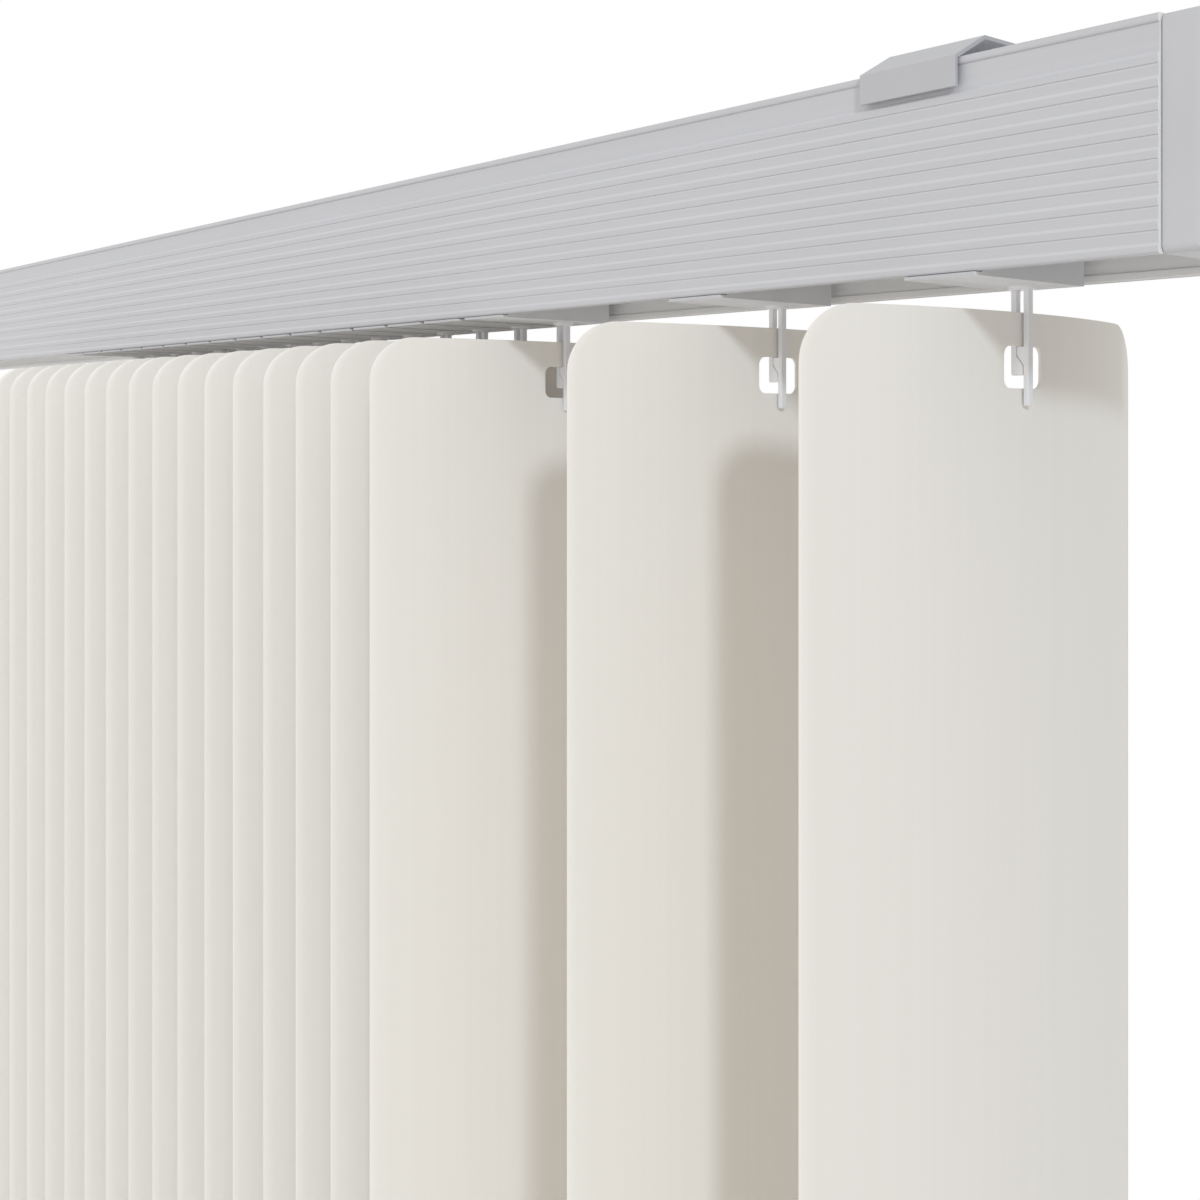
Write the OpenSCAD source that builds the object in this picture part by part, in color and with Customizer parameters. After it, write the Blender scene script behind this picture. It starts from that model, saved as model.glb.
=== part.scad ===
// Vertical blind: ribbed headrail, ceiling clips, carriers, hooks and curved vanes, in millimetres.
// X runs along the rail, Y away from the room, Z up; the origin lies between the two ceiling screw holes.

/* [Headrail] */
// length of the extruded rail without its end caps
rail_len = 1350; // [1000:10:2400]
// height of the rail from its top to its bottom edge
rail_h = 32; // [30:0.5:40]
// depth of the rail from the proud ribs to the back
rail_d = 34; // [33:0.5:38]
// thickness of the extruded walls
wall = 1.2; // [1:0.1:1.6]
// how far the proud ribs stand in front of the lands between them
rib_depth = 0.3; // [0.2:0.05:0.5]
// height of the plain upper part, down to the first rib's lower edge
rib_top = 6.7; // [6.2:0.1:7.4]
// radius of the bead along both top edges
bead_r = 0.65; // [0.5:0.05:0.8]
// depth of the plain band under the bead
recess_depth = 0.4; // [0.3:0.05:0.6]
// thickness of the two inner ledges that carry the carriers
ledge_t = 1.2; // [1:0.1:1.5]

/* [Ceiling clips] */
// height of the ceiling above the rail's top
clip_rise = 4.1; // [3.6:0.1:5]
// width of a folded clip along the rail
clip_w = 18; // [14:0.5:26]
// sheet thickness of a clip
clip_t = 0.6; // [0.5:0.05:0.7]
// how far the clip's lip hangs below the rail's top
lip_drop = 4.6; // [4:0.1:4.8]
// distance of a clip's middle from its rail end
clip_inset = 40.5; // [30:0.5:60]
// radius of the ceiling screw hole
screw_r = 2.25; // [1.8:0.05:2.6]

/* [Vanes] */
// width of a vane across its chord
vane_w = 89; // [80:1:92]
// length of a vane from top to bottom
vane_len = 1200; // [300:10:2400]
// sheet thickness of a vane
vane_t = 0.55; // [0.4:0.05:0.8]
// how far the crown stands off the chord
vane_sag = 7.5; // [5:0.5:9]
// radius of the four corners
vane_corner = 9; // [5:0.5:12]
// gap between the rail's bottom edge and the vane's top
vane_gap = 4.8; // [4.4:0.1:7]
// width of the punched slot
slot_w = 10.2; // [8:0.2:12]
// height of the punched slot
slot_h = 6.7; // [6:0.1:8]
// strip of vane left above the slot
slot_drop = 5.4; // [5:0.1:7]

/* [Carriers] */
// width of a carrier along the rail
carrier_w = 12.8; // [11:0.1:13.2]
// gap between two bunched carriers
bunch_gap = 1.9; // [1.4:0.1:3]
// distance of the first stem from the rail's right end
first_inset = 35.4; // [34:0.2:38]
// spacing of the first and second stem as shown
spread_a = 52.6; // [40:0.2:60]
// spacing of the second and third stem as shown
spread_b = 63; // [45:0.2:68]
// distance of the stem line behind the middle of the rail
stem_y = 5; // [4:0.5:6]
// radius of the turning stem
stem_r = 2.4; // [2:0.1:2.6]

/* [Tilt rod] */
// outer radius of the splined rod
rod_r = 2.5; // [2.2:0.1:2.7]
// distance of the rod in front of the stem line
rod_ahead = 9.4; // [9:0.1:9.8]

/* [Hidden] */
$fn = 48;
vane_count = 18;
rib_count = 8;
over = 1;
run_gap = 0.05;
slide_gap = 0.1;
free_gap = 0.6;

// rail levels and faces
z_top = -clip_rise;
z_bot = z_top - rail_h;
y_front = -rail_d / 2;
y_back = rail_d / 2;
y_land = y_front + rib_depth;
y_band = y_front + recess_depth;
rib_pitch = (rail_h - rib_top) / rib_count;
land_share = 0.52;
bevel_share = 0.15;
bead_h = 2 * bead_r;
band_low = rib_top - 0.5 * rib_pitch;
bevel_h = bevel_share * rib_pitch;
foot_h = 1.35;
foot_t = wall + 0.3;
y_in_front = y_land + wall;
y_in_back = y_back - wall;
z_ledge = z_top - 0.57 * rail_h;
ledge_in = 3.4;
y_tip_front = y_in_front + ledge_in;
y_tip_back = y_in_back - ledge_in;
edge_cut = 0.35;

// clip fold lines, measured from the middle plane
clip_clear = 0.4;
clip_out = rail_d / 2 + clip_clear + clip_t;
clip_ridge = clip_out - 7.4;
clip_slope = atan2(clip_rise, clip_out - clip_ridge);
ridge_fold = clip_t * tan(clip_slope / 2);
lip_fold = clip_t * (1 - sin(clip_slope)) / cos(clip_slope);
nib_inset = 3;
nib_gap = 0.1;
clip_x = rail_len / 2 - clip_inset;

// end caps
cap_t = 6;
cap_gap = 0.2;
cap_setback = 0.75;
cap_r = 1.2;
plug_len = 7;
journal_r = 1.9;
journal_gap = 0.5;
z_rod = z_ledge + 7;
y_rod = stem_y - rod_ahead;
spline_w = 1.3;

// carriers: plate under the rail, body between the ledges, head above them
plate_t = 0.5;
z_plate = z_bot - slide_gap - plate_t;
y_plate = y_front + 0.2;
y_body_front = y_in_front + free_gap;
y_body_back = stem_y + 7.6;
y_neck_front = y_tip_front + free_gap;
y_neck_back = y_tip_back - free_gap;
y_head_front = y_in_front + free_gap;
y_head_back = y_in_back - free_gap;
z_head = z_ledge + 12.4;
bore_gap = 0.4;
gear_r = 3.9;
gear_h = 4.6;
gear_gap = 0.3;
z_gear = z_ledge + 2.6;
bunch_pitch = carrier_w + bunch_gap;
bunch_step = 0.6;
open_pitch = (rail_len - 2 * first_inset) / (vane_count - 1);

// hooks: base disc, long leg with the barb, short leg behind the vane
base_r = 2.1;
base_t = 0.5;
leg_x = 1;
leg_y = 1.3;
leg_pitch = 2.3;
z_vane = z_bot - vane_gap;
z_ledge_barb = z_vane - slot_drop;
long_drop = 14.9;
short_drop = 10;
barb_h = 1.4;
barb_slope = 2.2;
barb_gap = 0.12;

// vane section
vane_r = (vane_w * vane_w / 4 + vane_sag * vane_sag) / (2 * vane_sag);
vane_half = asin(vane_w / 2 / vane_r) + 2;
slot_r = 1.5;

function two(k) = k < 10 ? str("0", k) : str(k);
function stem_x(k) = rail_len / 2 - first_inset
    - (k > 1 ? spread_a : 0) - (k > 2 ? spread_b : 0)
    - (k > 3 ? bunch_pitch + bunch_step + (k - 4) * bunch_pitch : 0);

// rib profile of the front, from the first land down to the bottom edge
function ribs() = [for (i = [0:rib_count - 1], p = [
    [y_land, 0], [y_land, land_share], [y_front, land_share + bevel_share], [y_front, 1]])
    [p[0], z_top - rib_top - (i + p[1]) * rib_pitch + (i == rib_count - 1 && p[1] == 1 ? edge_cut : 0)]];

// stands a drawing made in Y and Z along the rail, centred on x
module along(len, x = 0) {
    translate([x - len / 2, 0, 0]) rotate([90, 0, 90]) linear_extrude(len) children();
}

// a rectangle with four round corners
module round_rect(w, h, r) {
    translate([r, 0]) square([w - 2 * r, h]);
    translate([0, r]) square([w, h - 2 * r]);
    for (a = [r, w - r], b = [r, h - r]) translate([a, b]) circle(r);
}

module headrail() {
    color([0.77, 0.77, 0.78]) along(rail_len) {
        polygon(concat(
            [[y_front + bead_r, z_top - bead_h], [y_band, z_top - bead_h], [y_band, z_top - band_low],
                [y_front, z_top - band_low - bevel_h], [y_front, z_top - rib_top]],
            ribs(),
            [[y_front + edge_cut, z_bot], [y_in_front, z_bot], [y_in_front, z_ledge - ledge_t],
                [y_tip_front, z_ledge - ledge_t], [y_tip_front, z_ledge], [y_in_front, z_ledge],
                [y_in_front, z_top - bead_h], [y_in_back, z_top - bead_h],
                [y_in_back, z_ledge], [y_tip_back, z_ledge], [y_tip_back, z_ledge - ledge_t],
                [y_in_back, z_ledge - ledge_t], [y_in_back, z_bot + foot_h],
                [y_back - foot_t, z_bot + foot_h], [y_back - foot_t, z_bot],
                [y_back - edge_cut, z_bot], [y_back, z_bot + edge_cut],
                [y_back, z_top - band_low - bevel_h], [-y_band, z_top - band_low],
                [-y_band, z_top - bead_h], [y_back - bead_r, z_top - bead_h],
                [y_back - bead_r, z_top], [y_front + bead_r, z_top]]));
        for (s = [-1, 1]) translate([s * (rail_d / 2 - bead_r), z_top - bead_r]) circle(bead_r);
    }
}

// flange with rounded outer edges, and a plug with the rod's bearing
module end_cap(side) {
    x_in = side * rail_len / 2;
    cap_d = rail_d - cap_setback;
    plug_x = plug_len + cap_gap + over;
    difference() {
        union() {
            intersection() {
                translate([x_in, 0, 0]) rotate([90, 0, 90]) translate([0, 0, side > 0 ? cap_gap : -cap_t])
                    linear_extrude(cap_t - cap_gap) translate([y_front + cap_setback, z_bot])
                    round_rect(cap_d, rail_h, cap_r);
                translate([x_in - cap_t, y_front + cap_setback, z_bot - over])
                    linear_extrude(rail_h + 2 * over) round_rect(2 * cap_t, cap_d, cap_r);
                translate([x_in - cap_t, y_back + over, z_bot]) rotate([90, 0, 0])
                    linear_extrude(rail_d + 2 * over) round_rect(2 * cap_t, rail_h, cap_r);
            }
            translate([side > 0 ? x_in - plug_len : x_in + plug_len - plug_x,
                y_in_front + free_gap, z_ledge + free_gap])
                cube([plug_x, y_in_back - y_in_front - 2 * free_gap,
                    z_top - bead_h - z_ledge - 2 * free_gap]);
        }
        translate([side > 0 ? x_in - plug_len - over : x_in - over, y_rod, z_rod]) rotate([0, 90, 0])
            cylinder(r = journal_r + run_gap, h = plug_len + 2 * over);
    }
}

module end_cap_right() color([0.77, 0.77, 0.78]) end_cap(1);

module end_cap_left() color([0.77, 0.77, 0.78]) end_cap(-1);

// splined bar between two round journals
module tilt_rod() {
    spline_len = rail_len - 2 * plug_len - 2 * journal_gap;
    color([0.7, 0.71, 0.72]) translate([0, y_rod, z_rod]) {
        for (a = [0, 60, 120]) rotate([a, 0, 0]) cube([spline_len, 2 * rod_r, spline_w], center = true);
        translate([-rail_len / 2, 0, 0]) rotate([0, 90, 0]) cylinder(r = journal_r, h = rail_len);
    }
}

// one folded sheet: lip, slope and plate, mirrored to the back, with a nib under each bead of the rail
module clip(x) {
    half = [[clip_ridge, 0], [clip_out, z_top], [clip_out, z_top - lip_drop],
        [clip_out - clip_t, z_top - lip_drop], [clip_out - clip_t, z_top - lip_fold],
        [clip_ridge - ridge_fold, -clip_t]];
    last = len(half) - 1;
    mirrored = [for (i = [0:last]) [-half[last - i][0], half[last - i][1]]];
    nib = [[-y_band + nib_gap, z_top - bead_h - nib_gap], [clip_out - clip_t / 2, z_top - bead_h - nib_gap],
        [clip_out - clip_t / 2, z_top - bead_h - nib_gap - clip_t],
        [-y_band + nib_gap, z_top - bead_h - nib_gap - clip_t]];
    difference() {
        along(clip_w, x) polygon(concat(half, mirrored));
        translate([x, 0, -clip_t - over]) cylinder(r = screw_r, h = clip_t + 2 * over);
    }
    for (s = [-1, 1]) along(clip_w - 2 * nib_inset, x) polygon([for (p = nib) [s * p[0], p[1]]]);
}

module ceiling_brackets() {
    color([0.72, 0.72, 0.73]) for (s = [-1, 1]) clip(s * clip_x);
}

// housing that rides on the ledges; its plate closes the rail from below
module carrier(k) {
    x = stem_x(k);
    color([0.66, 0.67, 0.68]) difference() {
        along(carrier_w, x) polygon([
            [y_plate, z_plate], [y_body_back, z_plate], [y_body_back, z_ledge - ledge_t - free_gap],
            [y_neck_back, z_ledge - ledge_t - free_gap], [y_neck_back, z_ledge + slide_gap],
            [y_head_back, z_ledge + slide_gap], [y_head_back, z_head - free_gap],
            [y_head_back - free_gap, z_head], [y_head_front, z_head],
            [y_head_front, z_ledge + slide_gap], [y_neck_front, z_ledge + slide_gap],
            [y_neck_front, z_ledge - ledge_t - free_gap], [y_body_front, z_ledge - ledge_t - free_gap],
            [y_body_front, z_plate + plate_t], [y_plate, z_plate + plate_t]]);
        translate([x - carrier_w, y_rod, z_rod]) rotate([0, 90, 0])
            cylinder(r = rod_r + bore_gap, h = 2 * carrier_w);
        translate([x, stem_y, z_plate - over]) cylinder(r = stem_r + run_gap, h = z_gear - z_plate + over);
        translate([x, stem_y, z_gear]) cylinder(r = gear_r + gear_gap, h = gear_h + 2 * gear_gap);
    }
}

// turning stem with its head in the carrier, and two legs that close on the vane's slot like a clasp
module hook(k) {
    z_base = z_plate - slide_gap - base_t;
    z_head_low = z_gear + gear_gap;
    z_long = z_vane - long_drop;
    z_short = z_vane - short_drop;
    z_tip = z_ledge_barb - barb_h;
    in_x = leg_pitch / 2 - leg_x / 2;
    tip_x = barb_gap - in_x;
    root_x = in_x + leg_x / 2;
    fall = barb_slope * (-2 * tip_x) / (root_x - tip_x);
    color([0.7, 0.71, 0.73]) translate([stem_x(k), stem_y, 0]) {
        translate([0, 0, z_head_low]) cylinder(r = gear_r, h = gear_h);
        translate([0, 0, z_base + base_t / 2])
            cylinder(r = stem_r, h = z_head_low + over - z_base - base_t / 2);
        translate([0, 0, z_base]) cylinder(r = base_r + slide_gap, h = base_t);
        translate([in_x, -leg_y / 2, z_long]) cube([leg_x, leg_y, z_base - z_long + base_t / 2]);
        translate([-in_x - leg_x, -leg_y / 2, z_short])
            cube([leg_x, leg_y, z_base - z_short + base_t / 2]);
        translate([0, leg_y / 2, 0]) rotate([90, 0, 0]) linear_extrude(leg_y) {
            polygon([[root_x, z_ledge_barb], [tip_x, z_ledge_barb], [tip_x, z_tip],
                [root_x, z_tip - barb_slope]]);
            polygon([[-root_x, z_short], [-tip_x, z_short], [-tip_x, z_tip - fall - 2 * barb_gap],
                [tip_x, z_tip - 2 * barb_gap], [-root_x, z_tip - 2 * barb_gap]]);
        }
    }
}

// curved sheet, cut to rounded corners, with the punched slot
module vane(k) {
    color([0.89, 0.87, 0.83]) translate([stem_x(k), stem_y, z_vane - vane_len]) difference() {
        intersection() {
            translate([-vane_r, 0, 0]) rotate(-vane_half) rotate_extrude(angle = 2 * vane_half, $fn = 720)
                translate([vane_r - vane_t / 2, 0]) square([vane_t, vane_len]);
            translate([-2 * vane_sag, -vane_w / 2, 0]) rotate([90, 0, 90]) linear_extrude(3 * vane_sag)
                round_rect(vane_w, vane_len, vane_corner);
        }
        translate([-vane_sag, -slot_w / 2, vane_len - slot_drop - slot_h]) rotate([90, 0, 90])
            linear_extrude(2 * vane_sag) round_rect(slot_w, slot_h, slot_r);
    }
}

headrail();
end_cap_right();
end_cap_left();
tilt_rod();
ceiling_brackets();
for (k = [1:vane_count]) {
    carrier(k);
    hook(k);
    vane(k);
}
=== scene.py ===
# %% [markdown]
# # A vertical blind, half drawn open
#
# The object is a headrail on ceiling clips, a row of carriers inside it, and a curved cream vane on
# a two-legged hook under each carrier. The solids come in ready made as a fixed frame. This lesson
# dresses them: it draws the long curved forms again with numpy, because a sheet that is only half a
# millimetre thick needs finer rows than a solid's mesh has, and it gives every piece a finish.

# %% Load the frame
import math

import bpy
import numpy as np
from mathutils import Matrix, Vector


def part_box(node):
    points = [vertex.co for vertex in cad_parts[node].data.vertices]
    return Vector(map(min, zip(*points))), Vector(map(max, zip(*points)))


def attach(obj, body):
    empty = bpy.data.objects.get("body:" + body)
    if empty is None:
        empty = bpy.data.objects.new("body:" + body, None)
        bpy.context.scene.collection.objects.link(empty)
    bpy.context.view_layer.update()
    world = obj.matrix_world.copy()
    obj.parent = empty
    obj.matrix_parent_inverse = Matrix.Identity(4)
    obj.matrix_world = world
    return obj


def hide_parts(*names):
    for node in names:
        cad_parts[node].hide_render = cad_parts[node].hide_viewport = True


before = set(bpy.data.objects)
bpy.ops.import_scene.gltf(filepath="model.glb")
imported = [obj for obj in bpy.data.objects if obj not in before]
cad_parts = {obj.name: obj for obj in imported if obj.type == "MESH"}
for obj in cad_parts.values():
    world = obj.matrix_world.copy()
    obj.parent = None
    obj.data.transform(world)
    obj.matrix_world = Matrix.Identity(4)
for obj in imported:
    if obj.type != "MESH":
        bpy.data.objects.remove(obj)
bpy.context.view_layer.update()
MM = 0.001
vane_names = sorted(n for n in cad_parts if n.startswith("vane_"))
hook_names = sorted(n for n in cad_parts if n.startswith("hook_"))
print("solids:", len(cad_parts), "vanes:", len(vane_names), "hooks:", len(hook_names))

# %% [markdown]
# ## Where the camera stands
#
# The uprights of the picture stay parallel, so the camera is level and its frame is shifted down
# instead of tilted. It stands a hand's length in front of the rail's right end and looks along it.
# Its place is written in the blind's own frame: X along the rail, Y away from the room, Z up.

# %% Camera
look_x, look_y = -0.7587, 0.6515
camera_data = bpy.data.cameras.new("photo_camera")
camera_data.lens = 45.0
camera_data.sensor_width = 36.0
camera_data.shift_y = -0.147
camera_data.clip_start = 0.01
camera = bpy.data.objects.new("photo_camera", camera_data)
bpy.context.collection.objects.link(camera)
camera.location = (0.7773, -0.2020, -0.0586)
camera.rotation_euler = (math.radians(90), 0, math.atan2(-look_x, look_y))
bpy.context.scene.camera = camera
print("camera turned by", round(math.degrees(camera.rotation_euler[2]), 2), "degrees")

# %% [markdown]
# ## From arrays to a mesh
#
# Every new shape below is a grid of points: rows along one parameter, columns along the other. One
# helper numbers the four-sided faces of such a grid, and another joins several grids into one piece.
# Faces are smooth, except where two of them meet at a clear edge.

# %% Mesh helpers
def grid_faces(rows, cols, closed=False, keep=None):
    """Faces of a grid: point (i, j) joins (i, j+1), (i+1, j+1) and (i+1, j).

    With closed, the last column joins the first. With keep, only the faces marked there are made.
    """
    i, j = np.meshgrid(np.arange(rows - 1), np.arange(cols if closed else cols - 1), indexing="ij")
    right = (j + 1) % cols
    quads = np.stack([i * cols + j, i * cols + right,
                      (i + 1) * cols + right, (i + 1) * cols + j], axis=-1)
    return quads[keep] if keep is not None else quads.reshape(-1, 4)


def make_piece(name, parts, sharp_deg=32.0):
    """One object from several (points, faces) parts.

    Points that no face uses are dropped, and places stay in the mesh. Edges sharper than sharp_deg
    stay sharp.
    """
    points, faces, start = [], [], 0
    for part_points, part_faces in parts:
        part_points = np.asarray(part_points, dtype=float).reshape(-1, 3)
        points.append(part_points)
        faces += [[int(v) + start for v in face] for face in part_faces]
        start += len(part_points)
    points = np.concatenate(points)
    used = np.unique(np.concatenate([np.asarray(face) for face in faces]))
    new_index = np.full(len(points), -1)
    new_index[used] = np.arange(len(used))
    mesh = bpy.data.meshes.new(name)
    mesh.from_pydata(points[used].tolist(), [], [new_index[face].tolist() for face in faces])
    mesh.polygons.foreach_set("use_smooth", np.ones(len(mesh.polygons), dtype=bool))
    mesh.set_sharp_from_angle(angle=math.radians(sharp_deg))
    mesh.update()
    piece = bpy.data.objects.new(name, mesh)
    bpy.context.collection.objects.link(piece)
    return piece


def tube(rings):
    """Faces of a closed tube of rings (rows, columns, 3), with a flat face over each end."""
    rows, cols = rings.shape[:2]
    sides = grid_faces(rows, cols, closed=True).tolist()
    ends = [list(range(cols))[::-1], list(range((rows - 1) * cols, rows * cols))]
    return rings.reshape(-1, 3), sides + ends


print("mesh helpers ready")

# %% [markdown]
# A moulded or extruded piece has no knife-sharp corners. The next helper takes an outline's corner
# points with a radius for each and rounds them all at once, so that a profile can be written as the
# few corners that a drawing would give.

# %% Round corners
def filleted(corners, radii, steps):
    """A closed outline with round corners.

    At each corner the two sides are cut back by radius / tan(half the angle), and the cut is
    bridged by points that turn evenly about the arc's centre, which lies on the angle's bisector.
    """
    p = np.asarray(corners, dtype=float)
    r = np.asarray(radii, dtype=float)[:, None]
    to_last = np.roll(p, 1, axis=0) - p
    to_next = np.roll(p, -1, axis=0) - p
    to_last /= np.linalg.norm(to_last, axis=1, keepdims=True)
    to_next /= np.linalg.norm(to_next, axis=1, keepdims=True)
    half = np.arccos(np.clip((to_last * to_next).sum(1, keepdims=True), -1, 1)) / 2
    bisector = to_last + to_next
    bisector /= np.linalg.norm(bisector, axis=1, keepdims=True)
    centre = p + bisector * r / np.sin(half)
    begin = p + to_last * r / np.tan(half) - centre
    end = p + to_next * r / np.tan(half) - centre
    sweep = (np.pi - 2 * half)[:, None, :]
    share = np.linspace(0, 1, steps)[None, :, None]
    from_begin = begin[:, None] * np.sin((1 - share) * sweep)
    from_end = end[:, None] * np.sin(share * sweep)
    return (centre[:, None] + (from_begin + from_end) / np.sin(sweep)).reshape(-1, 2)


square = filleted([(0, 0), (1, 0), (1, 1), (0, 1)], [0.2] * 4, 6)
print("a square with round corners has", len(square), "points")

# %% [markdown]
# ## Finishes
#
# Nothing on the blind is one flat colour. The rail's coat has a fine grain that breaks its gloss, the
# vanes carry long faint streaks from the way the sheet is drawn, and the moulded pieces are slightly
# cloudy. Each finish is a few nodes on the piece's own coordinates; what is even all over is typed
# straight into the shader.

# %% Finish helpers
def new_finish(name, roughness, specular=0.5, metallic=0.0):
    """A material with one principled shader; returns it with its tree and shader."""
    finish = bpy.data.materials.new(name)
    finish.use_nodes = True
    shader = finish.node_tree.nodes["Principled BSDF"]
    shader.inputs["Roughness"].default_value = roughness
    shader.inputs["Specular IOR Level"].default_value = specular
    shader.inputs["Metallic"].default_value = metallic
    return finish, finish.node_tree, shader


def stretched_noise(tree, stretch, scale, detail=3.0):
    """Noise on the piece's own coordinates, squeezed by the three factors of stretch."""
    where = tree.nodes.new("ShaderNodeTexCoord")
    squeeze = tree.nodes.new("ShaderNodeMapping")
    squeeze.inputs["Scale"].default_value = stretch
    noise = tree.nodes.new("ShaderNodeTexNoise")
    noise.inputs["Scale"].default_value = scale
    noise.inputs["Detail"].default_value = detail
    tree.links.new(where.outputs["Object"], squeeze.inputs["Vector"])
    tree.links.new(squeeze.outputs["Vector"], noise.inputs["Vector"])
    return noise


def shades(tree, noise, dark, light, low=0.35, high=0.65):
    """A colour that runs from dark to light as the noise runs from low to high."""
    ramp = tree.nodes.new("ShaderNodeValToRGB")
    ramp.color_ramp.elements[0].position = low
    ramp.color_ramp.elements[1].position = high
    ramp.color_ramp.elements[0].color = (*dark, 1)
    ramp.color_ramp.elements[1].color = (*light, 1)
    tree.links.new(noise.outputs["Fac"], ramp.inputs["Fac"])
    return ramp.outputs["Color"]


def tint(tree, shader, noise, dark, light):
    """Base colour from dark to light with the noise."""
    tree.links.new(shades(tree, noise, dark, light), shader.inputs["Base Color"])


def grain(tree, shader, noise, height, strength):
    """A shallow bump of the given height in metres, driven by the noise."""
    bump = tree.nodes.new("ShaderNodeBump")
    bump.inputs["Strength"].default_value = strength
    bump.inputs["Distance"].default_value = height
    tree.links.new(noise.outputs["Fac"], bump.inputs["Height"])
    tree.links.new(bump.outputs["Normal"], shader.inputs["Normal"])


def gloss_range(tree, shader, noise, low, high):
    """Roughness that wanders between low and high with the noise."""
    spread = tree.nodes.new("ShaderNodeMapRange")
    spread.inputs["To Min"].default_value = low
    spread.inputs["To Max"].default_value = high
    tree.links.new(noise.outputs["Fac"], spread.inputs["Value"])
    tree.links.new(spread.outputs["Result"], shader.inputs["Roughness"])


even = (1, 1, 1)
print("finish helpers ready")

# %% [markdown]
# ### The rail and its caps
#
# The rail's coat is a light, slightly cool grey, satin rather than shiny. It is drawn out along X, so
# its grain is squeezed that way. The ribs' slopes, the shallow dips under their steps and the band's
# slope get a lighter coat, which is a painted highlight. The inside is taken as uncoated, and its much
# paler tint is partly painted light that lifts the shade in the channel. The sawn ends are taken as
# bright. The caps are moulded in the same grey and have no direction.

# %% Rail and cap finishes
along_rail = (0.02, 1, 1)
rail_coat, tree, shader = new_finish("rail_satin_coat", 0.42)
fine = stretched_noise(tree, along_rail, 900.0)
tint(tree, shader, fine, (0.536, 0.545, 0.591), (0.549, 0.558, 0.607))
gloss_range(tree, shader, fine, 0.38, 0.48)
grain(tree, shader, stretched_noise(tree, even, 4000.0), 0.02 * MM, 0.25)

# This lighter coat on the ribs' slopes, dips and the band's slope is a painted highlight.
rail_painted_highlight, tree, shader = new_finish("rail_ribs_painted_highlight", 0.42)
fine = stretched_noise(tree, along_rail, 900.0)
tint(tree, shader, fine, (0.589, 0.598, 0.650), (0.604, 0.614, 0.667))
gloss_range(tree, shader, fine, 0.36, 0.46)

# The inside's pale tint is partly painted light that lifts the shade in the channel.
rail_inside_painted_light, tree, shader = new_finish("rail_uncoated_inside_painted_light", 0.5)
drawn = stretched_noise(tree, along_rail, 1200.0)
tint(tree, shader, drawn, (0.86, 0.865, 0.89), (0.89, 0.895, 0.915))
gloss_range(tree, shader, drawn, 0.42, 0.55)

rail_cut, tree, shader = new_finish("rail_sawn_end", 0.45)
sawn = stretched_noise(tree, (1, 1, 0.1), 3000.0)
tint(tree, shader, sawn, (0.84, 0.84, 0.84), (0.90, 0.90, 0.90))
grain(tree, shader, sawn, 0.03 * MM, 0.3)

cap_coat, tree, shader = new_finish("cap_moulded_grey", 0.45)
cloud = stretched_noise(tree, even, 60.0)
tint(tree, shader, cloud, (0.531, 0.539, 0.580), (0.543, 0.552, 0.594))
grain(tree, shader, stretched_noise(tree, even, 2600.0), 0.03 * MM, 0.3)
print("rail finishes:", rail_coat.name, rail_painted_highlight.name, rail_inside_painted_light.name, rail_cut.name, cap_coat.name)

# %% [markdown]
# ### Two shades on one piece
#
# The clips' faces that look down above the rail get a much paler shade, a painted light that lifts the
# shade between clip and rail. A carrier's faces towards the room get a darker painted shade against its
# paler grey, which stands in for more light from below on its other faces. Splitting the meshes would
# be one way to give two shades, but the solids stay as they are: the material asks each face which way
# it looks, and mixes by the answer.

# %% Clip and carrier finishes
def math_node(tree, operation, *inputs):
    """The result of one Math node; each input is a number or another node's output."""
    node = tree.nodes.new("ShaderNodeMath")
    node.operation = operation
    for socket, value in zip(node.inputs, inputs):
        if isinstance(value, float):
            socket.default_value = value
        else:
            tree.links.new(value, socket)
    return node.outputs[0]


def along(tree, vector, axis):
    """One axis of a vector output."""
    split = tree.nodes.new("ShaderNodeSeparateXYZ")
    tree.links.new(vector, split.inputs[0])
    return split.outputs[axis]


def two_tints(tree, shader, mask, elsewhere, there):
    """Base colour that is one shade where the mask is 1 and another elsewhere."""
    mix = tree.nodes.new("ShaderNodeMixRGB")
    tree.links.new(mask, mix.inputs["Fac"])
    tree.links.new(elsewhere, mix.inputs["Color1"])
    tree.links.new(there, mix.inputs["Color2"])
    tree.links.new(mix.outputs["Color"], shader.inputs["Base Color"])


looks_down, looks_to_room = -0.3, -0.7
over_rail = float(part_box("headrail")[1][2]) + 0.1 * MM

clip_coat_and_painted_light, tree, shader = new_finish("clip_sheet_coat_painted_light", 0.4)
cloud = stretched_noise(tree, even, 120.0)
outer_side = shades(tree, cloud, (0.474, 0.482, 0.522), (0.492, 0.500, 0.541))
# Faces looking down above the rail get this pale shade as painted light against the clip-rail shade.
painted_light_under = shades(tree, cloud, (0.90, 0.90, 0.91), (0.93, 0.93, 0.94))
facing = tree.nodes.new("ShaderNodeNewGeometry").outputs["True Normal"]
place = tree.nodes.new("ShaderNodeTexCoord").outputs["Object"]
faces_down = math_node(tree, "LESS_THAN", along(tree, facing, "Z"), looks_down)
lies_high = math_node(tree, "GREATER_THAN", along(tree, place, "Z"), over_rail)
two_tints(tree, shader, math_node(tree, "MULTIPLY", faces_down, lies_high), outer_side, painted_light_under)
gloss_range(tree, shader, cloud, 0.34, 0.46)

carrier_plastic_and_painted_shade, tree, shader = new_finish("carrier_moulded_grey_painted_shade", 0.65, specular=0.1)
cloud = stretched_noise(tree, even, 140.0)
pale = shades(tree, cloud, (0.74, 0.753, 0.795), (0.77, 0.783, 0.825))
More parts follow.
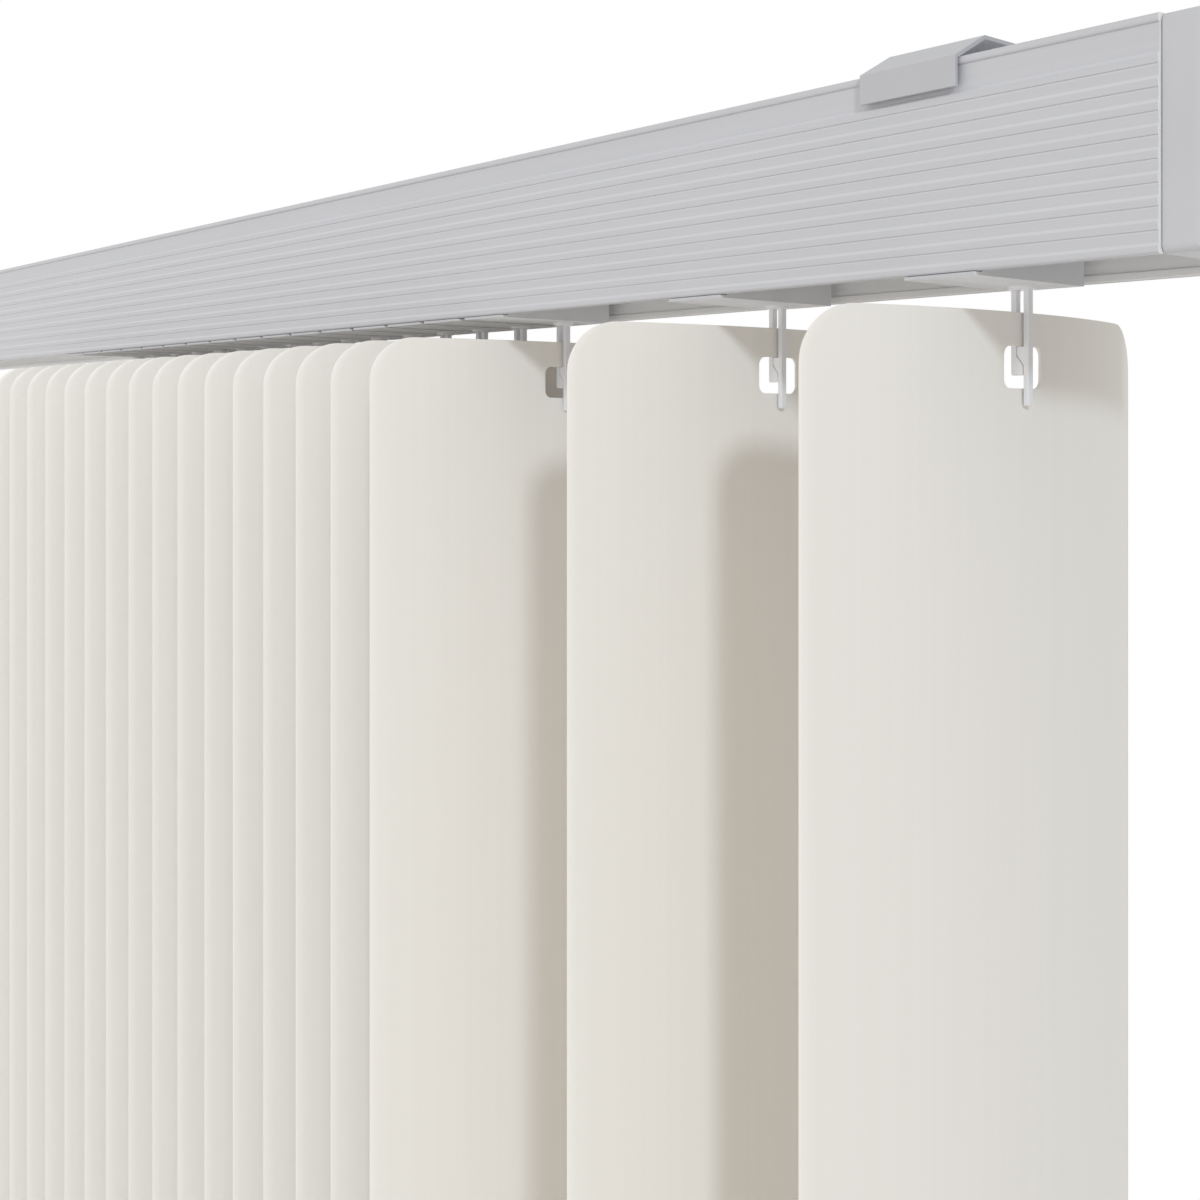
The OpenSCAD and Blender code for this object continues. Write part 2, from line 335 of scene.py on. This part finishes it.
# The darker grey on faces towards the room is painted shade; the paler grey stands in for light from
# below.
edge = shades(tree, cloud, (0.53, 0.54, 0.58), (0.55, 0.56, 0.60))
facing = tree.nodes.new("ShaderNodeNewGeometry").outputs["True Normal"]
painted_shade_mask = math_node(tree, "LESS_THAN", along(tree, facing, "Y"), looks_to_room)
two_tints(tree, shader, painted_shade_mask, pale, edge)
grain(tree, shader, stretched_noise(tree, even, 2200.0), 0.01 * MM, 0.15)
print("the clips' bright side lies above", round(over_rail / MM, 2), "mm")

# %% [markdown]
# ### The rod, the hooks and the vanes
#
# The rod is bare drawn aluminium, so its lines run along X. The hooks are cloudy plastic, paler than the
# rail. A vane is cream sheet with a soft gloss, and its streaks are drawn out along Z, the way the
# sheet came off the machine.

# %% Rod, hook and vane finishes
rod_metal, tree, shader = new_finish("rod_drawn_aluminium", 0.35, metallic=1.0)
lines = stretched_noise(tree, (0.01, 1, 1), 1500.0)
tint(tree, shader, lines, (0.62, 0.63, 0.64), (0.70, 0.71, 0.72))
gloss_range(tree, shader, lines, 0.28, 0.45)

hook_plastic, tree, shader = new_finish("hook_cloudy_plastic", 0.32)
cloud = stretched_noise(tree, (1, 1, 0.4), 260.0)
tint(tree, shader, cloud, (0.80, 0.81, 0.85), (0.85, 0.86, 0.90))
gloss_range(tree, shader, cloud, 0.26, 0.40)

vane_sheet, tree, shader = new_finish("vane_cream_sheet", 0.4)
streak = stretched_noise(tree, (1, 1, 0.006), 520.0, 4.0)
tint(tree, shader, streak, (0.862, 0.838, 0.804), (0.872, 0.849, 0.816))
gloss_range(tree, shader, streak, 0.34, 0.42)
grain(tree, shader, stretched_noise(tree, (1, 1, 0.2), 2400.0), 0.01 * MM, 0.15)
print("more finishes:", rod_metal.name, hook_plastic.name, vane_sheet.name)

# %% [markdown]
# ## The solids that stay
#
# The caps, clips, rod and carriers have flat faces and plain round edges, so their solids show well as
# they are. They only get their finish.

# %% Finish the solids
def dress(node, finish):
    """Put one finish on every slot of a solid."""
    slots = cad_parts[node].data.materials
    slots.clear()
    slots.append(finish)


for node, finish in (("headrail", rail_coat), ("end_cap_right", cap_coat), ("end_cap_left", cap_coat),
                     ("tilt_rod", rod_metal), ("ceiling_brackets", clip_coat_and_painted_light)):
    dress(node, finish)
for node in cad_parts:
    for start, finish in (("carrier_", carrier_plastic_and_painted_shade), ("hook_", hook_plastic), ("vane_", vane_sheet)):
        if node.startswith(start):
            dress(node, finish)
print("dressed", len(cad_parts), "solids")

# %% [markdown]
# ## The headrail
#
# The rail is pushed through a die, so it is one outline carried along X. Seen from the room it has a
# round bead, a plain band, and eight ribs. Each rib is a shallow dip, a land set back, a short slope
# out and a proud land that ends in a sharp step. The outline is written as corner points and a radius
# for each, and the round corners catch the light where a solid's corner would only show a hard line.

# %% Sizes of the headrail
rail_low, rail_high = (np.array(v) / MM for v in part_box("headrail"))
rail_top, rail_bottom = rail_high[2], rail_low[2]
front, back = rail_low[1], rail_high[1]
rib_top, rib_count, rib_depth, rib_dip, band_depth = 6.7, 8, 0.15, 0.05, 0.4
wall_front, wall_back, bead_height = 1.5, 1.2, 1.3
ledge_reach, ledge_thick, ledge_drop_share = 3.4, 1.2, 0.57
lip_height, lip_depth = 1.35, 0.3

rib_pitch = (rail_top - rail_bottom - rib_top) / rib_count
land, band, back_band = front + rib_depth, front + band_depth, back - band_depth
inner_front, inner_back = front + wall_front, back - wall_back
ledge = rail_top - ledge_drop_share * (rail_top - rail_bottom)
ledge_under, lip_top = ledge - ledge_thick, rail_bottom + lip_height
ledge_front, ledge_back = inner_front + ledge_reach, inner_back - ledge_reach
print("rib pitch mm:", round(float(rib_pitch), 3), "ledge at", round(float(ledge), 2))

# %% [markdown]
# The ribs repeat, so one rib is written as shares of its pitch and copied down the front as an array.
# The head of the outline comes before the ribs, and its tail goes round the inside and up the back.

# %% Outline of the headrail
rib_y = np.array([land + rib_dip, land, land, front, front])
rib_shares = np.array([0.0, 0.10, 0.52, 0.67, 1.0])
rib_radius = np.array([0.02, 0.1, 0.2, 0.2, 0.05])
dip_corner, slope_corner, slope_end_corner = 0, 2, 3
rib_corners, rib_index = len(rib_y), np.arange(rib_count)[:, None]
ribs = np.stack([np.broadcast_to(rib_y, (rib_count, rib_corners)),
                 rail_top - rib_top - (rib_index + rib_shares) * rib_pitch], axis=-1).reshape(-1, 2)
rib_radii = np.broadcast_to(rib_radius, (rib_count, rib_corners)).reshape(-1).copy()
bead_r, bead_under_r, crease_r, band_r, slope_r, step_r = 0.6, 0.45, 0.04, 0.5, 0.2, 0.06
inner_r, ledge_r, lip_crease_r, lip_r, back_foot_r, front_foot_r = 0.3, 0.2, 0.05, 0.1, 0.35, 0.5
rib_radii[-1] = front_foot_r

band_end_share = 0.5
band_end = rail_top - rib_top + band_end_share * rib_pitch
slope_end = band_end - (rib_shares[slope_end_corner] - rib_shares[slope_corner]) * rib_pitch
bead_low = rail_top - bead_height
band_corner = 3
head = np.array([
    (front, rail_top, bead_r), (front, bead_low, bead_under_r), (band, bead_low, crease_r),
    (band, band_end, band_r), (front, slope_end, slope_r), (front, rail_top - rib_top, step_r)])
inside = np.array([
    (inner_front, rail_bottom, inner_r), (inner_front, ledge_under, inner_r),
    (ledge_front, ledge_under, ledge_r), (ledge_front, ledge, ledge_r),
    (inner_front, ledge, inner_r), (inner_front, bead_low, inner_r),
    (inner_back, bead_low, inner_r), (inner_back, ledge, inner_r),
    (ledge_back, ledge, ledge_r), (ledge_back, ledge_under, ledge_r),
    (inner_back, ledge_under, inner_r), (inner_back, lip_top, lip_crease_r),
    (inner_back - lip_depth, lip_top, lip_r), (inner_back - lip_depth, rail_bottom, inner_r)])
behind = np.array([
    (back, rail_bottom, back_foot_r), (back, slope_end, slope_r), (back_band, band_end, band_r),
    (back_band, bead_low, crease_r), (back, bead_low, bead_under_r), (back, rail_top, bead_r)])
corner_steps = 6
corners = np.concatenate([head[:, :2], ribs, inside[:, :2], behind[:, :2]])
radii = np.concatenate([head[:, 2], rib_radii, inside[:, 2], behind[:, 2]])
outline = filleted(corners, radii, corner_steps)
print("headrail outline points:", len(outline))

# %% [markdown]
# The outline is carried along X in a few stations. A face's column in the grid says which corner it
# lies at, so the inner faces and the slopes with the painted highlight find their finish by counting
# columns.

# %% Headrail skin
def carried_along_x(shape, stations):
    """The outline at each station: x is the station, y and z are the outline's two columns."""
    rings = np.empty((len(stations), len(shape), 3))
    rings[..., 0] = np.asarray(stations)[:, None]
    rings[..., 1:] = shape[None]
    return rings * MM


station_count, rail_sharp_deg = 19, 28
stations = np.linspace(rail_low[0], rail_high[0], station_count)
headrail_skin = make_piece("headrail_skin", [tube(carried_along_x(outline, stations))], rail_sharp_deg)
for finish in (rail_coat, rail_inside_painted_light, rail_cut, rail_painted_highlight):
    headrail_skin.data.materials.append(finish)
inside_slot, cut_slot, highlight_slot = 1, 2, 3

half_corner = corner_steps // 2
inside_from = corner_steps * (len(head) + len(ribs))
inside_to = inside_from + corner_steps * len(inside)
column = np.arange(len(headrail_skin.data.polygons)) % len(outline)
finish_index = np.zeros(len(column), dtype=np.int32)
finish_index[(column >= inside_from + half_corner) & (column < inside_to - half_corner)] = inside_slot
rib_starts = len(head) + rib_corners * rib_index
# The dips, the rib slopes and the band's slope take the painted highlight.
highlight_corners = np.append(rib_starts + np.array([dip_corner, slope_corner]), band_corner)
highlight_columns = corner_steps * highlight_corners[:, None] + half_corner + np.arange(corner_steps)
finish_index[np.isin(column, highlight_columns)] = highlight_slot
finish_index[-2:] = cut_slot
headrail_skin.data.polygons.foreach_set("material_index", finish_index)
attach(headrail_skin, "headrail_assembly")
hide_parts("headrail")
print("headrail faces by finish:", np.bincount(finish_index).tolist())

# %% [markdown]
# ## The vanes
#
# A vane is a thin plastic sheet, bowed across its width so that it stays stiff, with round corners and
# a punched slot near the top. Its middle surface is a function of height and width: the height gives
# the half width, which shrinks along a quarter circle at each end, and the width gives the bow, which
# is a shallow arc. The columns run in three strips, left of the slot, over it and right of it, and the
# faces of the middle strip are left out where the slot is.

# %% Vane surface
vane_low, vane_high = (np.array(v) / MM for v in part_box(vane_names[0]))
vane_width, vane_length = vane_high[1] - vane_low[1], vane_high[2] - vane_low[2]
vane_sag, vane_thick, corner_r = 7.5, 0.55, 9.0
slot_width, slot_height, slot_drop, slot_r = 10.2, 6.7, 5.4, 1.5
plain_margin, tiny = 3.0, 1e-6
arc_r = (vane_width ** 2 / 4 + vane_sag ** 2) / (2 * vane_sag)
stem_y = (vane_low[1] + vane_high[1]) / 2

quarter = 1 - np.cos(np.linspace(0, np.pi / 2, 13))
small = 1 - np.cos(np.linspace(0, np.pi / 2, 7))
slot_end = slot_drop + slot_height
plain = np.linspace(slot_end + plain_margin, vane_length - corner_r - plain_margin, 9)
drops = np.unique(np.round(np.concatenate([
    corner_r * quarter, slot_drop + slot_r * small, slot_end - slot_r * small,
    plain, vane_length - corner_r * quarter]), 5))
to_end = np.minimum(np.minimum(drops, vane_length - drops), corner_r)
half_width = vane_width / 2 - corner_r + np.sqrt(corner_r ** 2 - (corner_r - to_end) ** 2)
to_slot_end = np.clip(np.minimum(drops - slot_drop, slot_end - drops), 0, slot_r)
half_slot = slot_width / 2 - slot_r + np.sqrt(slot_r ** 2 - (slot_r - to_slot_end) ** 2)
side, over = np.linspace(0, 1, 25), np.linspace(0, 1, 9)
left = -half_width[:, None] + side * (half_width - half_slot)[:, None]
middle = -half_slot[:, None] + over[1:-1] * 2 * half_slot[:, None]
across = np.concatenate([left, middle, -left[:, ::-1]], axis=1)
bow = np.sqrt(arc_r ** 2 - across ** 2) - arc_r

rows, cols = across.shape
keep = np.ones((rows - 1, cols - 1), dtype=bool)
punched = (drops[:-1] >= slot_drop - tiny) & (drops[1:] <= slot_end + tiny)
keep[np.ix_(punched, np.arange(len(side) - 1, len(side) + len(over) - 2))] = False
vane_faces = grid_faces(rows, cols, keep=keep)
print("vane grid:", rows, "by", cols, "faces:", len(vane_faces), "arc radius mm:", round(arc_r, 1))

# %% [markdown]
# Every solid vane says where its crown is, and the same surface is hung there. Solidify gives the
# sheet its thickness, half to each side, and a small bevel the light edge that shows on the cut sides.

# %% Hang one sheet on every stem
cut_edge, cut_edge_deg, vane_sharp_deg = 0.1, 50, 60
stem_x = []
for name in vane_names:
    far_corner = np.array(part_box(name)[1]) / MM
    crown_x = far_corner[0] - vane_thick / 2
    stem_x.append(crown_x)
    height = np.broadcast_to(far_corner[2] - drops[:, None], across.shape)
    points = np.stack([crown_x + bow, stem_y + across, height], axis=-1) * MM
    sheet = make_piece(name.replace("vane", "vane_sheet"), [(points, vane_faces)], vane_sharp_deg)
    sheet.data.materials.append(vane_sheet)
    thick = sheet.modifiers.new("thickness", "SOLIDIFY")
    thick.thickness, thick.offset = vane_thick * MM, 0.0
    soften = sheet.modifiers.new("cut_edge", "BEVEL")
    soften.width, soften.segments, soften.limit_method = cut_edge * MM, 2, "ANGLE"
    soften.angle_limit = math.radians(cut_edge_deg)
    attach(sheet, name)
    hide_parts(name)
print("stems at", [round(float(x), 1) for x in stem_x[:4]], "...")

# %% [markdown]
# ## The hooks
#
# A hook is moulded in one piece: a stem that turns in the carrier, a small round base, a long leg in
# front of the vane and a short leg behind it. A barb on the long leg reaches through the slot and
# carries the vane, and a foot on the short leg closes the clasp under it. The stem is a profile turned
# about its axis; a leg is a rounded square carried down, drawn in at its tip; the barb and the foot are
# outlines carried across.

# %% Hook surfaces
leg_x, leg_y, leg_gap = 1.0, 1.3, 1.3
leg_tip, leg_run = 0.3, 2.0
square_power, tip_shrink_share = 0.25, 0.3


def turned(profile, count=40):
    """A profile of (radius, height) turned about Z: x = radius cos a, y = radius sin a."""
    angle = np.linspace(0, 2 * np.pi, count, endpoint=False)
    radius, height = np.asarray(profile, dtype=float).T
    return np.stack([radius[:, None] * np.cos(angle), radius[:, None] * np.sin(angle),
                     np.broadcast_to(height[:, None], (len(height), count))], axis=-1)


def leg(x_mid, z_high, z_low, count=28):
    """A rounded square carried down.

    x is half the leg's width times the fourth root of the cosine, with the cosine's sign, and y is
    the same with the sine. Over the tip the square shrinks along a quarter circle.
    """
    angle = np.linspace(0, 2 * np.pi, count, endpoint=False)
    c, s = np.cos(angle), np.sin(angle)
    x_shape = np.sign(c) * np.abs(c) ** square_power * leg_x / 2
    y_shape = np.sign(s) * np.abs(s) ** square_power * leg_y / 2
    turn = np.linspace(0, np.pi / 2, 5)
    heights = np.concatenate([[z_high], [z_low + leg_tip + leg_run], z_low + leg_tip * (1 - np.sin(turn))])
    shrink = np.concatenate([[1, 1], 1 - tip_shrink_share * (1 - np.cos(turn))])
    return np.stack([x_mid + shrink[:, None] * x_shape, shrink[:, None] * y_shape,
                     np.broadcast_to(heights[:, None], (len(heights), count))], axis=-1)[::-1]


def across_leg(corners, radii):
    """An outline in X and Z carried across the leg's width in Y, and drawn in a little at both sides."""
    shape = filleted(corners, radii, 4)
    middle = shape.mean(0)
    across_shares = np.array([-0.5, -0.43, 0.43, 0.5])
    size_shares = np.array([0.94, 1.0, 1.0, 0.94])
    rings = np.empty((len(size_shares), len(shape), 3))
    rings[..., 0::2] = middle + size_shares[:, None, None] * (shape - middle)
    rings[..., 1] = leg_y * across_shares[:, None]
    return rings


print("leg mm:", leg_x, "by", leg_y, "gap", leg_gap)

# %% [markdown]
# All hooks are alike, so their parts are worked out once, about the stem's axis. The barb's top lies at
# the slot's top edge, because the vane hangs there, and the legs end at set drops below the vane's top.

# %% Hook parts
vane_top = vane_high[2]
plate_thick, long_drop, short_drop = 1.2, 14.9, 10.0
barb_thick, barb_root, barb_gap = 1.4, 2.2, 0.12
core_r, base_r, stem_r, stem_head_r = 0.4, 2.2, 2.4, 3.9
base_height, base_edge, collar, chamfer = 0.5, 0.15, 0.05, 0.2
stem_head_rise, stem_head_height = 2.9, 4.6

base_z = rail_bottom - plate_thick
base_top = base_z + base_height
inner_x = leg_gap / 2
leg_mid = inner_x + leg_x / 2
barb_top = vane_top - slot_drop
barb_low, barb_tip = barb_top - barb_thick, inner_x - barb_gap
short_end = vane_top - short_drop
foot_top = barb_low - 2 * barb_gap
foot_fall = 2 * barb_tip * barb_root / (leg_mid + barb_tip)
barb = across_leg([(leg_mid, barb_top), (leg_mid, barb_low - barb_root),
                   (-barb_tip, barb_low), (-barb_tip, barb_top)], [0.05, 0.05, 0.15, 0.1])
foot = across_leg([(-leg_mid, foot_top), (-barb_tip, foot_top), (barb_tip, foot_top - foot_fall),
                   (barb_tip, short_end), (-leg_mid, short_end)], [0.05, 0.05, 0.08, 0.15, 0.05])
head_low = ledge + stem_head_rise
head_high = head_low + stem_head_height
stem = turned([(core_r, base_z), (base_r - chamfer, base_z), (base_r, base_z + base_edge),
               (base_r, base_top), (stem_r, base_top + collar), (stem_r, head_low),
               (stem_head_r - chamfer, head_low), (stem_head_r, head_low + chamfer),
               (stem_head_r, head_high - chamfer), (stem_head_r - chamfer, head_high),
               (core_r, head_high)])
long_leg = leg(leg_mid, base_top, vane_top - long_drop)
short_leg = leg(-leg_mid, base_top, short_end)
hook_parts = [stem, long_leg, short_leg, barb, foot]
print("hook parts:", [part.shape[:2] for part in hook_parts])

# %% [markdown]
# Each hook is those parts moved to its stem. It rides on the body of its vane, so that both turn
# together.

# %% Put a hook on every stem
hook_sharp_deg = 40
for name, x in zip(hook_names, stem_x):
    shift = np.array([x, stem_y, 0.0])
    tubes = [tube((part + shift) * MM) for part in hook_parts]
    hook = make_piece(name.replace("hook", "hook_shape"), tubes, hook_sharp_deg)
    hook.data.materials.append(hook_plastic)
    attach(hook, name.replace("hook", "vane"))
    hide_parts(name)
print("hooks placed:", len(hook_names))

# %% [markdown]
# ## Background and soft light
#
# The background is white to the camera and to reflections, and a plain soft light to everything else.
# That light is a little stronger from the room and from the rail's empty end, and a touch stronger
# from below, as in a pale room: its strength is a level plus the dot product of the direction with a
# small lean.

# %% World
fill_level, fill_lean, fill_colour = 0.69, (-0.16, -0.28, -0.06), (1.0, 0.968, 0.898, 1)
world = bpy.data.worlds.new("studio")
bpy.context.scene.world = world
world.use_nodes = True
tree = world.node_tree
tree.nodes.clear()
seen = tree.nodes.new("ShaderNodeLightPath").outputs
camera_or_gloss = math_node(tree, "MAXIMUM", seen["Is Camera Ray"], seen["Is Glossy Ray"])
shown = math_node(tree, "MAXIMUM", camera_or_gloss, seen["Is Transmission Ray"])
ways = tree.nodes.new("ShaderNodeTexCoord")
lean = tree.nodes.new("ShaderNodeVectorMath")
lean.operation = "DOT_PRODUCT"
lean.inputs[1].default_value = fill_lean
tree.links.new(ways.outputs["Generated"], lean.inputs[0])
fill = tree.nodes.new("ShaderNodeBackground")
fill.inputs["Color"].default_value = fill_colour
tree.links.new(math_node(tree, "ADD", lean.outputs["Value"], fill_level), fill.inputs["Strength"])
white = tree.nodes.new("ShaderNodeBackground")
white.inputs["Color"].default_value = (1, 1, 1, 1)
white.inputs["Strength"].default_value = 1.0
choose = tree.nodes.new("ShaderNodeMixShader")
result = tree.nodes.new("ShaderNodeOutputWorld")
tree.links.new(shown, choose.inputs["Fac"])
tree.links.new(fill.outputs["Background"], choose.inputs[1])
tree.links.new(white.outputs["Background"], choose.inputs[2])
tree.links.new(choose.outputs["Shader"], result.inputs["Surface"])
print("world: white to the camera, soft fill elsewhere")

# %% [markdown]
# ## The lamp
#
# One far lamp throws the soft shadows. It is as wide as a palm at arm's length, a little cooler than the
# fill, and it comes from the room, from the right and from above, so that each vane shades the next.

# %% Lamp
lamp_away = 2.0
lamp_data = bpy.data.lights.new("key_lamp", "SUN")
lamp_data.energy = 0.95
lamp_data.color = (0.85, 0.93, 1.0)
lamp_data.angle = 0.10
lamp = bpy.data.objects.new("key_lamp", lamp_data)
bpy.context.collection.objects.link(lamp)
travel = np.array([-0.79, 0.50, -0.355])
travel /= np.linalg.norm(travel)
lamp.location = -lamp_away * travel
lamp.rotation_euler = (math.acos(-travel[2]), 0, math.atan2(travel[1], travel[0]) - math.pi / 2)
print("light travels along", np.round(travel, 3).tolist())

# %% [markdown]
# ## The floor
#
# The blind hangs, so the floor lies clear below it. It is a wide disc, drawn as rings of points.

# %% Floor
floor_drop, floor_sides = 0.12, 64
floor_z = float(vane_low[2]) * MM - floor_drop
ring_r = np.array([0.001, 0.5, 1.0, 2.0, 4.0, 12.0, 40.0])
ring_a = np.linspace(0, 2 * np.pi, floor_sides, endpoint=False)
floor_points = np.stack([ring_r[:, None] * np.cos(ring_a), ring_r[:, None] * np.sin(ring_a),
                         np.full((len(ring_r), floor_sides), floor_z)], axis=-1)
floor_faces = grid_faces(len(ring_r), floor_sides, closed=True)[:, ::-1]
floor = make_piece("studio_floor", [(floor_points, floor_faces)])
print("floor at", round(floor_z, 3))

# %% [markdown]
# The floor takes shadow near the blind and runs out into the white further off. So its paint mixes a
# pale matt shader with a clear one, by the distance from the middle.

# %% Floor paint
solid_to, clear_from = 0.4, 1.1
floor_paint, tree, shader = new_finish("floor_pale", 0.9, 0.1)
shader.inputs["Base Color"].default_value = (0.94, 0.94, 0.94, 1)
clear = tree.nodes.new("ShaderNodeBsdfTransparent")
mix = tree.nodes.new("ShaderNodeMixShader")
where = tree.nodes.new("ShaderNodeTexCoord")
flat = tree.nodes.new("ShaderNodeVectorMath")
flat.operation = "MULTIPLY"
flat.inputs[1].default_value = (1, 1, 0)
length = tree.nodes.new("ShaderNodeVectorMath")
length.operation = "LENGTH"
fade = tree.nodes.new("ShaderNodeMapRange")
fade.interpolation_type = "SMOOTHSTEP"
fade.inputs["From Min"].default_value = solid_to
fade.inputs["From Max"].default_value = clear_from
tree.links.new(where.outputs["Object"], flat.inputs[0])
tree.links.new(flat.outputs["Vector"], length.inputs[0])
tree.links.new(length.outputs["Value"], fade.inputs["Value"])
tree.links.new(fade.outputs["Result"], mix.inputs["Fac"])
tree.links.new(shader.outputs["BSDF"], mix.inputs[1])
tree.links.new(clear.outputs["BSDF"], mix.inputs[2])
tree.links.new(mix.outputs["Shader"], tree.nodes["Material Output"].inputs["Surface"])
floor.data.materials.append(floor_paint)
bpy.context.scene.view_settings.view_transform = "Standard"
print("floor paint is solid to", solid_to, "m and clear from", clear_from, "m")
